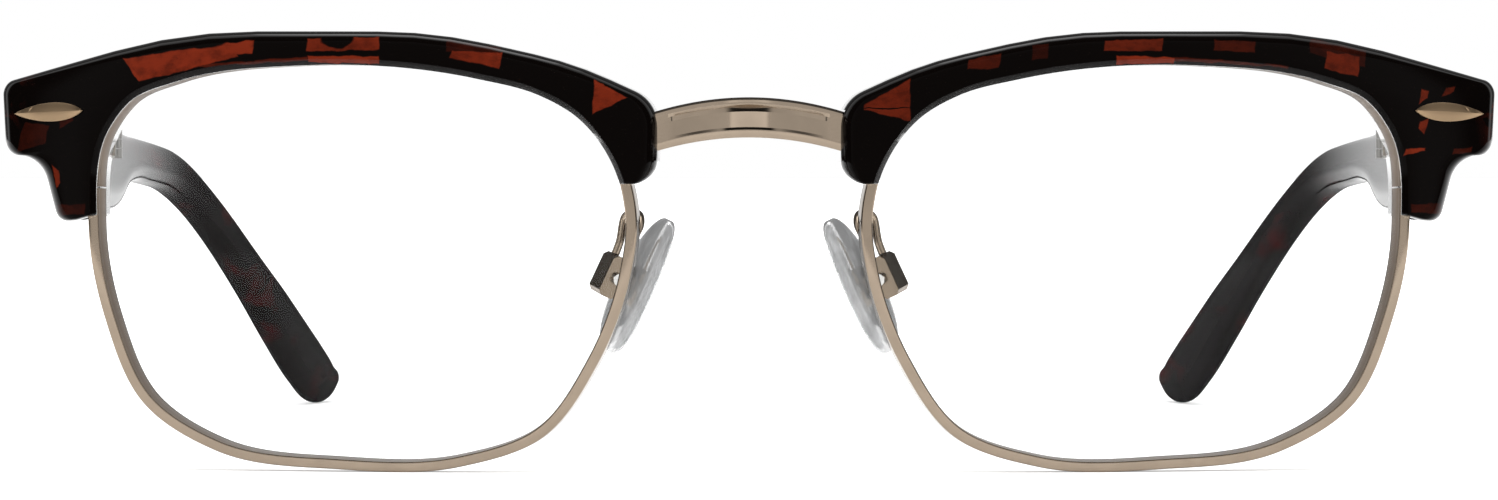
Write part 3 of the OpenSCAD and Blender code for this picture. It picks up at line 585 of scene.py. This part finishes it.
def cap_section(o, inner, outer, from_end):
    """One section of the cap; from_end is how far it stands from the nearer end, along the cap's edge."""
    u, v = o
    tuck = END_ROUND * (1 - math.sqrt(1 - (1 - clamp(from_end / END_ROUND, 0, 1)) ** 2))
    focus = np.array([
        clamp(u, 8.5 - HALF_W, HALF_W - 8.5),
        clamp(v + 0.3, NOSE_LOW + 0.3, 12) if u < 0 else clamp(v + 2.8, LOBE_LOW + 2.8, 12.8)])
    i, g = leaves(inner, focus, o), leaves(outer, focus, o)
    e, h, k = unit(o - i), np.linalg.norm(o - i), np.linalg.norm(g - i)
    front = -CAP_FRONT + 0.75 * tuck
    far = (BLOCK_OUT + 0.15 - i[0]) / e[0] if e[0] > 0 else math.inf
    in_lobe = u > 0 and i[1] + e[1] * far < SPLIT_V + BLOCK_H + 0.7
    d = min(far, h - 0.6) if in_lobe else k
    r, q, c = min(1.2, 0.55 * (h - k)), min(0.9, 0.35 * (h - k)), min(0.35, 0.4 * (h - k))
    rows = [(0.02, -SEAT, 0), (0, -SEAT - 0.1, 0), (0.02, -SEAT - 0.26, 0),
            (BEVEL - 0.1, front + 0.09, 0), (BEVEL - 0.02, front + 0.02, 0), (BEVEL + 0.1, front, 0)]
    rows += [(lerp(BEVEL + 0.1, h - r, t), front, 0) for t in (0.33, 0.66)]
    rows += [(s, n, 0) for s, n in arc(h - r, front + 1.2 * r, r, 1.2 * r, -90, 0, 10)]
    rows += [(s, n, 1) for s, n in arc(h - q, q, q, q, 0, -90, 6)]
    rows += [(k + c, 0, 1), (LIP_BACK + 0.1, 0.35, 1), (LIP_BACK, 0.6, 1)]
    rows += [(LIP_BACK, SEAT, 0), (d, SEAT, 0), (d, -SEAT, 0)]
    out = []
    for s, n, behind in rows:
        w = i + e * s
        out.append(at(w[0], w[1], back_of(*w) - n - 0.4 * tuck if behind else n))
    return out


# Boxes cut out of the cap for the hinge and the bridge
HINGE_SEAT = [
    ((HINGE_X - 0.8, END_Y - PLATE_T, HINGE_Z - 2.15),
     (HINGE_X + KNUCKLE_R + 0.35, END_Y + 5, HINGE_Z + 3.45)),
    ((HINGE_X, END_Y - PLATE_T, LENS_Z + BROW_V - BROW_FALL - END_H + 0.45),
     (END_X - 1.55, END_Y + 5, HINGE_Z + 3.45))]
BRIDGE_SEAT = [
    ((BRIDGE_SPAN - 0.9, BRIDGE_END_Y - BRIDGE_T / 2 - FIT, BRIDGE_Z - BRIDGE_ARCH - BRIDGE_H / 2 - 0.9),
     (BRIDGE_GAP / 2 + 3.6, BRIDGE_END_Y + 8, BRIDGE_Z - BRIDGE_ARCH + BRIDGE_H / 2 + 0.1))]


def brow_cap(side, name):
    inner, outer = grow(FINE_EYE, LIP - RIM_IN), grow(FINE_EYE, RIM_OUT + FIT)
    run = [0.0]
    for a, b in zip(CAP_EDGE, CAP_EDGE[1:]):
        run.append(run[-1] + np.linalg.norm(b - a))
    rings = [cap_section(o, inner, outer, min(r, run[-1] - r)) for o, r in zip(CAP_EDGE, run)]
    piece = make(f"cap_{name}", *loft(rings), side, "front", f"brow_cap_{name}", "cap_acetate", TORTOISE)
    cut(piece, HINGE_SEAT + BRIDGE_SEAT, side)
    return piece


# The leaf in steps from its foot to its ridge: share of its length, share of its width, height
LEAF_STEPS = [(1, 1, 0), (1, 1, 0.08), (0.985, 0.92, 0.15), (0.97, 0.5, 0.21), (0.955, 0.05, 0.27)]


def leaf(side, name):
    """A raised leaf with a ridge along its middle, and its two shanks."""
    u, v = HALF_W + 4.55, 14.05
    middle = at(u, v, -CAP_FRONT)
    yaw, tilt, roll = WRAP + math.asin(u / LENS_R), -math.asin(v / LENS_R), math.radians(2.3)
    tips, rings = 40, []
    for grow_x, grow_z, rise in LEAF_STEPS:
        ring = []
        for k in range(2 * tips):
            a = math.pi * k / tips
            x = LEAF_L / 2 * math.cos(a) * grow_x
            z = LEAF_W / 2 * math.sin(a) * abs(math.sin(a)) ** 0.7 * grow_z
            x -= 0.07 * LEAF_L * (1 - (2 * x / LEAF_L) ** 2)
            ring.append((x, -0.02 - rise, z))
        rings.append(ring[::-1])
    points, faces = loft(rings)
    placed = []
    for x, y, z in points:
        x, z = x * math.cos(roll) + z * math.sin(roll), z * math.cos(roll) - x * math.sin(roll)
        y, z = y * math.cos(tilt) - z * math.sin(tilt), y * math.sin(tilt) + z * math.cos(tilt)
        x, y = turn((x, y), yaw)
        placed.append(middle + (x, y, z))
    for k in (-1, 1):
        low = middle[1] + k * 1.45 * math.tan(yaw) - 0.1
        shank = [[(middle[0] + k * 1.45 + 0.5 * math.cos(a), y, middle[2] + 0.5 * math.sin(a))
                  for a in (math.tau * j / 24 for j in range(24))] for y in (low, END_Y)]
        more, extra = loft(shank)
        faces += [tuple(i + len(placed) for i in f) for f in extra]
        placed += [np.array(p) for p in more]
    return make(f"leaf_{name}", placed, faces, side, "front", f"leaf_rivet_{name}", "leaf_metal", BRASS,
                sharp=20)


def bridge():
    """The arched bar with two rails and a sunk panel."""
    h, t = BRIDGE_H / 2, BRIDGE_T / 2
    way = grow(FINE_EYE, RIM_OUT + 0.02)
    ends = BRIDGE_GAP / 2 + 2.6
    under = arc(t - 0.3, -h + 0.3, 0.3, 0.3, 0, -90, 4) + arc(0.3 - t, 0.3 - h, 0.3, 0.3, -90, -180, 4)
    rings = []
    for k in range(161):
        x = lerp(-ends, ends, k / 160)
        near = abs(x)
        s = near / BRIDGE_SPAN
        mid_y = BRIDGE_END_Y - BRIDGE_BOW * (1 - ease(s))
        mid_z = BRIDGE_Z - BRIDGE_ARCH * s * s
        # The panel is deepest in a groove along its top, and rises below the groove in the middle of the bar
        groove = PANEL_D * ease((BRIDGE_SPAN - 1.3 - near) / 0.4)
        shelf, low = groove * (0.12 + 0.88 * ease(near / 5)), groove * (0.7 - 0.4 * ease(near / 3))
        corners = [(-t, 0.74 - h), (low - t, 0.98 - h), (shelf - t, h - 1.32), (groove - t, h - 0.9),
                   (-t, h - 0.58), (-t, h - 0.46), (0.25 - t, h - 0.24), (0.79 - t, h)]
        section = under + corners + arc(t - 0.4, h - 0.4, 0.4, 0.4, 90, 0, 5)
        ring = []
        for y, z in section:
            px = x
            if near > 9.5:
                v = mid_z + z - LENS_Z
                level = clamp(v, -17, 17)
                edge = leaves(way, np.array([0.0, level]), np.array([-40.0, level]))
                stop = min(ends, place(edge[0], v, bulge(*edge))[0])
                px = math.copysign(lerp(9.5, stop, (near - 9.5) / (ends - 9.5)), x)
            ring.append((px, mid_y + y, mid_z + z))
        rings.append(ring)
    piece = make("bridge_bar", *loft(rings), 1, "front", "bridge", "rim_metal", GOLD, sharp=60)
    # The corners of the panel and of the top edge stay crisp along the whole bar
    for edge in piece.data.edges:
        a, b = (v % len(section) for v in edge.vertices)
        if a == b and len(under) <= a < len(under) + len(corners):
            edge.use_edge_sharp = True


def bent(y):
    """Length of the temple's drop behind y, which begins softly."""
    s = max(0, y - STRAIGHT_L)
    return s * s / (2 * BEND_L) if s < BEND_L else s - BEND_L / 2


def toed(y):
    """Length of the temple's inward run behind the hinge, which begins softly."""
    s = max(0, y - 2)
    return s * s / 12 if s < 6 else s - 3


# The drop makes the lower edge of the temple touch the ground at TOUCH
TOUCH = TEMPLE_L - 8
DROP = (TEMPLE_Z - PITCH * TOUCH - TIP_H / 2 - 0.04) / (TOUCH - STRAIGHT_L - BEND_L / 2)
# Each row is distance back, height, lift of the middle, thickness, squareness of the section
TEMPLE_ROWS = [
    (0, FLARE_H, -1.4, TEMPLE_T + 0.1, 5), (9, FLARE_H - 1.8, -1.75, TEMPLE_T + 0.1, 5),
    (19, FLARE_H - 3, -1.55, TEMPLE_T, 4.5), (25, TEMPLE_H + 0.95, -0.6, TEMPLE_T, 4),
    (31, TEMPLE_H + 0.15, -0.15, TEMPLE_T, 3.6), (42, TEMPLE_H, 0, TEMPLE_T, 3.4),
    (STRAIGHT_L + 8, TEMPLE_H - 0.05, 0, TEMPLE_T - 0.1, 3.2),
    (STRAIGHT_L + 24, TEMPLE_H + 0.2, 0, TEMPLE_T - 0.2, 2.8),
    (TEMPLE_L - 33, lerp(TEMPLE_H, TIP_H, 0.42), 0.1, TEMPLE_T - 0.2, 2.6),
    (TEMPLE_L - 23, lerp(TEMPLE_H, TIP_H, 0.8), 0.1, TEMPLE_T - 0.1, 2.4),
    (TEMPLE_L - 13, TIP_H, 0.05, TEMPLE_T - 0.1, 2.2), (TEMPLE_L - 7, TIP_H - 0.5, 0.35, TEMPLE_T - 0.2, 2.2),
    (TEMPLE_L - 2.2, 0.62 * TIP_H, 1.4, TEMPLE_T - 0.7, 2.2),
    (TEMPLE_L - 0.3, 0.28 * TIP_H, 2.4, TEMPLE_T - 1.6, 2.2)]


def temple(side, name):
    rows = open_curve(TEMPLE_ROWS, 1.1)
    path = [np.array([TEMPLE_IN - TOE * toed(y) - TUCK * bent(y) + t / 2, TEMPLE_Y + y,
                      TEMPLE_Z + lift - PITCH * y - DROP * bent(y)]) for y, _, lift, t, _ in rows]
    rings = []
    for i, (y, height, _, thick, square) in enumerate(rows):
        along = unit(path[min(i + 1, len(path) - 1)] - path[max(i - 1, 0)])
        across = unit(np.cross(along, (0, 0, 1)))
        up = np.cross(across, along)
        if i == 0:
            across, up = np.array([1.0, 0, 0]), np.array([0, 0, 1.0])
        rings.append([path[i] + thick / 2 * bow(math.cos(a), square) * across
                      + height / 2 * bow(math.sin(a), square) * up
                      for a in (math.tau * (k + 0.5) / 44 for k in range(44))])
    piece = make(f"arm_{name}", *loft(rings), side, f"temple_{name}", f"temple_{name}", "temple_acetate",
                 DARK)
    cut(piece, [((TEMPLE_IN - 1, TEMPLE_Y - 1, HINGE_Z - HINGE_H / 2 - FIT),
                 (TEMPLE_IN + PLATE_T + FIT, HINGE_Y - PLATE_LEAD + PLATE_L + FIT,
                  HINGE_Z + HINGE_H / 2 + FIT))], side)
    return piece


# Where the pad turns on its screw
PAD_AT = np.array([LENS_X - 23.3, 5.6, LENS_Z - 1.4])


def in_pad(x, y, z):
    """A place given in the pad's own directions, in the drawing frame."""
    x, y = turn((x, y), -PAD_SPLAY)
    c, s = math.cos(PAD_LEAN), math.sin(PAD_LEAN)
    return PAD_AT + (x * c - z * s, y, x * s + z * c)


def nose_pad(side, name):
    rings = []
    for i in range(49):
        s = math.sin(lerp(-PAD_END, PAD_END, i / 48))
        c = math.sqrt(1 - s * s)
        w, t = PAD_W / 2 * c**0.8 * (1 - 0.12 * s), PAD_T / 2 * c**0.55
        rings.append([in_pad(t * bow(math.sin(b), 2.4) - PAD_OFF - PAD_HOLLOW * s * s,
                             w * bow(math.cos(b), 2.4), PAD_UP + PAD_L / 2 * s)
                      for b in (math.tau * k / 40 for k in range(40))])
    return make(f"pad_{name}", *loft(rings), side, f"pad_{name}", f"nose_pad_{name}", "pad_clear", PAD,
                sharp=60)


def pad_arm(side, name):
    foot = at(-HALF_W - 0.05, 2.6, RIM_D / 2 + 0.24)
    path = open_curve([foot, foot + (-0.35, 0.9, 0.8), foot + (-0.1, 3, 1.9), foot + (1, 4.4, 1.7),
                       in_pad(0.7, 0.2, 3.1), in_pad(0.7, 0, 2.03)], 0.2)
    rings = []
    for i, p in enumerate(path):
        along = unit(path[min(i + 1, len(path) - 1)] - path[max(i - 1, 0)])
        across = unit(np.cross(along, (1, 0, 0)))
        up = np.cross(across, along)
        rings.append([p - ARM_R * math.cos(a) * across + ARM_R * math.sin(a) * up
                      for a in (math.tau * k / 20 for k in range(20))])
    return make(f"pad_wire_{name}", *loft(rings), side, "front", f"pad_arm_{name}", "rim_metal", GOLD)


for side, name in ((1, "left"), (-1, "right")):
    eyewire(side, name)
    lens(side, name)
    brow_cap(side, name)
    leaf(side, name)
    temple(side, name)
    nose_pad(side, name)
    pad_arm(side, name)
bridge()

# The remaining nodes of the part are shown as they are, with a finish and softened edges
KEPT = {
    "rim_block_upper": GOLD, "rim_block_lower": GOLD, "rim_screw": STEEL, "cap_screw": STEEL,
    "front_hinge": NICKEL, "hinge_screw": STEEL, "temple_hinge": NICKEL, "temple_core": CORE, "pad_box": BOX,
    "pad_screw": STEEL, "pad_insert": STEEL}
for key, material in KEPT.items():
    for name in ("left", "right"):
        node = frame["nodes"][f"{key}_{name}"]
        node.data.materials.clear()
        node.data.materials.append(material)
        edge = node.modifiers.new("edges", "BEVEL")
        edge.width, edge.segments, edge.limit_method = 0.00008, 2, "ANGLE"
        edge.angle_limit = math.radians(40)


def stage_material(name, colour, lift):
    """A pale surface that keeps shadows and is lifted towards white where it is seen."""
    f = Finish(name)
    grain = f.noise(0.02, 3)[0]
    base = f.mix(grain, [c * 0.99 for c in colour], colour)
    diffuse = f.add("ShaderNodeBsdfDiffuse", {"Color": base, "Roughness": 0.5}).outputs[0]
    rays = f.add("ShaderNodeLightPath").outputs
    mirrored = f.math("MULTIPLY", rays["Is Glossy Ray"], 0.35)
    seen = f.math("MAXIMUM", f.math("MAXIMUM", rays["Is Camera Ray"], mirrored), rays["Is Transmission Ray"])
    distance = f.add("ShaderNodeVectorMath", {0: f.mm}, operation="LENGTH").outputs["Value"]
    lifted = f.step(distance, 150.0, 600.0, lift, 1.2)
    strength = f.math("MULTIPLY", seen, lifted)
    glow = f.add("ShaderNodeEmission", {"Color": (1, 1, 1, 1), "Strength": strength}).outputs[0]
    return f.surface(f.add("ShaderNodeAddShader", {0: diffuse, 1: glow}).outputs[0])


def floor():
    mesh = bpy.data.meshes.new("floor")
    grid = bmesh.new()
    bmesh.ops.create_grid(grid, x_segments=1, y_segments=1, size=4)
    grid.to_mesh(mesh)
    grid.free()
    piece = bpy.data.objects.new("floor", mesh)
    bpy.context.scene.collection.objects.link(piece)
    mesh.materials.append(stage_material("pale_floor", (0.86, 0.86, 0.86), 0.35))


def soft_light(name, where, look_at, size, power):
    data = bpy.data.lights.new(name, "AREA")
    data.shape, data.size, data.size_y, data.energy = "RECTANGLE", size[0], size[1], power
    lamp = bpy.data.objects.new(name, data)
    lamp.location = where
    lamp.visible_glossy = False
    lamp.rotation_euler = (Vector(look_at) - Vector(where)).to_track_quat("-Z", "Y").to_euler()
    bpy.context.scene.collection.objects.link(lamp)


def world():
    """White where it is seen; in reflections, a bright front with a dark ring round it and bright sides."""
    made = bpy.data.worlds.new("studio")
    made.use_nodes = True
    n = Nodes(made.node_tree)
    direction = n.add("ShaderNodeTexCoord").outputs["Generated"]
    x, y, z = n.add("ShaderNodeSeparateXYZ", {0: direction}).outputs

    panel = n.math("MULTIPLY", n.step(y, -0.55, -0.65, 0.03, 0.93), n.step(z, -0.6, 0.6, 1.1, 0.9))
    # Bright to the sides and behind, with a dim ring between them that draws thin dark lines along edges
    behind = n.math("MULTIPLY", n.step(y, 0.84, 0.9), n.step(z, 0.1, 0.3, 1.0, 0.2))
    around = n.math("MAXIMUM", n.step(y, 0.35, 0.45, 1.0, 0.12), behind)
    around = n.math("MULTIPLY", n.step(y, -0.05, 0.12, 0.0, 0.9), around)
    # A narrow strip above gives the caps their highlight
    strip = n.math("MULTIPLY", n.step(y, 0.1, 0.2), n.step(y, 0.4, 0.5, 1.0, 0.0))
    narrow = n.math("MULTIPLY", n.step(z, 0.8, 0.86), n.step(n.math("ABSOLUTE", x), 0.15, 0.35, 2.5, 0.0))
    strip = n.math("MULTIPLY", strip, narrow)
    reflected = n.math("MAXIMUM", n.math("MAXIMUM", panel, around), strip)
    through = n.step(y, -0.3, 0.5, 0.3, 1.06)

    rays = n.add("ShaderNodeLightPath").outputs
    glossy = n.math("MULTIPLY", rays["Is Glossy Ray"], reflected)
    refracted = n.math("MULTIPLY", rays["Is Transmission Ray"], through)
    lit = n.math("MULTIPLY", rays["Is Diffuse Ray"], 0.45)
    seen = n.math("MAXIMUM", n.math("MAXIMUM", rays["Is Camera Ray"], refracted), glossy)
    strength = n.math("MAXIMUM", seen, lit)
    back = n.add("ShaderNodeBackground", {"Color": (1, 1, 1, 1), "Strength": strength}).outputs[0]
    out = n.add("ShaderNodeOutputWorld")
    n.tree.links.new(back, out.inputs["Surface"])
    bpy.context.scene.world = made


def camera():
    """Level with the brow, half a metre in front, aimed slightly down at the middle of the front."""
    data = bpy.data.cameras.new("camera")
    data.sensor_width, data.lens = 36, 129.2
    data.clip_start, data.clip_end = 0.01, 20
    piece = bpy.data.objects.new("camera", data)
    where, aim = Vector((0, -0.57, 0.03068)), Vector((0, -0.07, 0.02078))
    piece.location = where
    piece.rotation_euler = (aim - where).to_track_quat("-Z", "Y").to_euler()
    bpy.context.scene.collection.objects.link(piece)
    bpy.context.scene.camera = piece


floor()
world()
soft_light("top", (0, -0.1, 0.9), (0, 0, 0.02), (1.2, 0.8), 9)
soft_light("side_left", (0.9, -0.5, 0.45), (0, -0.05, 0.02), (0.5, 0.8), 4)
soft_light("side_right", (-0.9, -0.5, 0.45), (0, -0.05, 0.02), (0.5, 0.8), 4)
camera()
bpy.context.scene.view_settings.view_transform = "Standard"
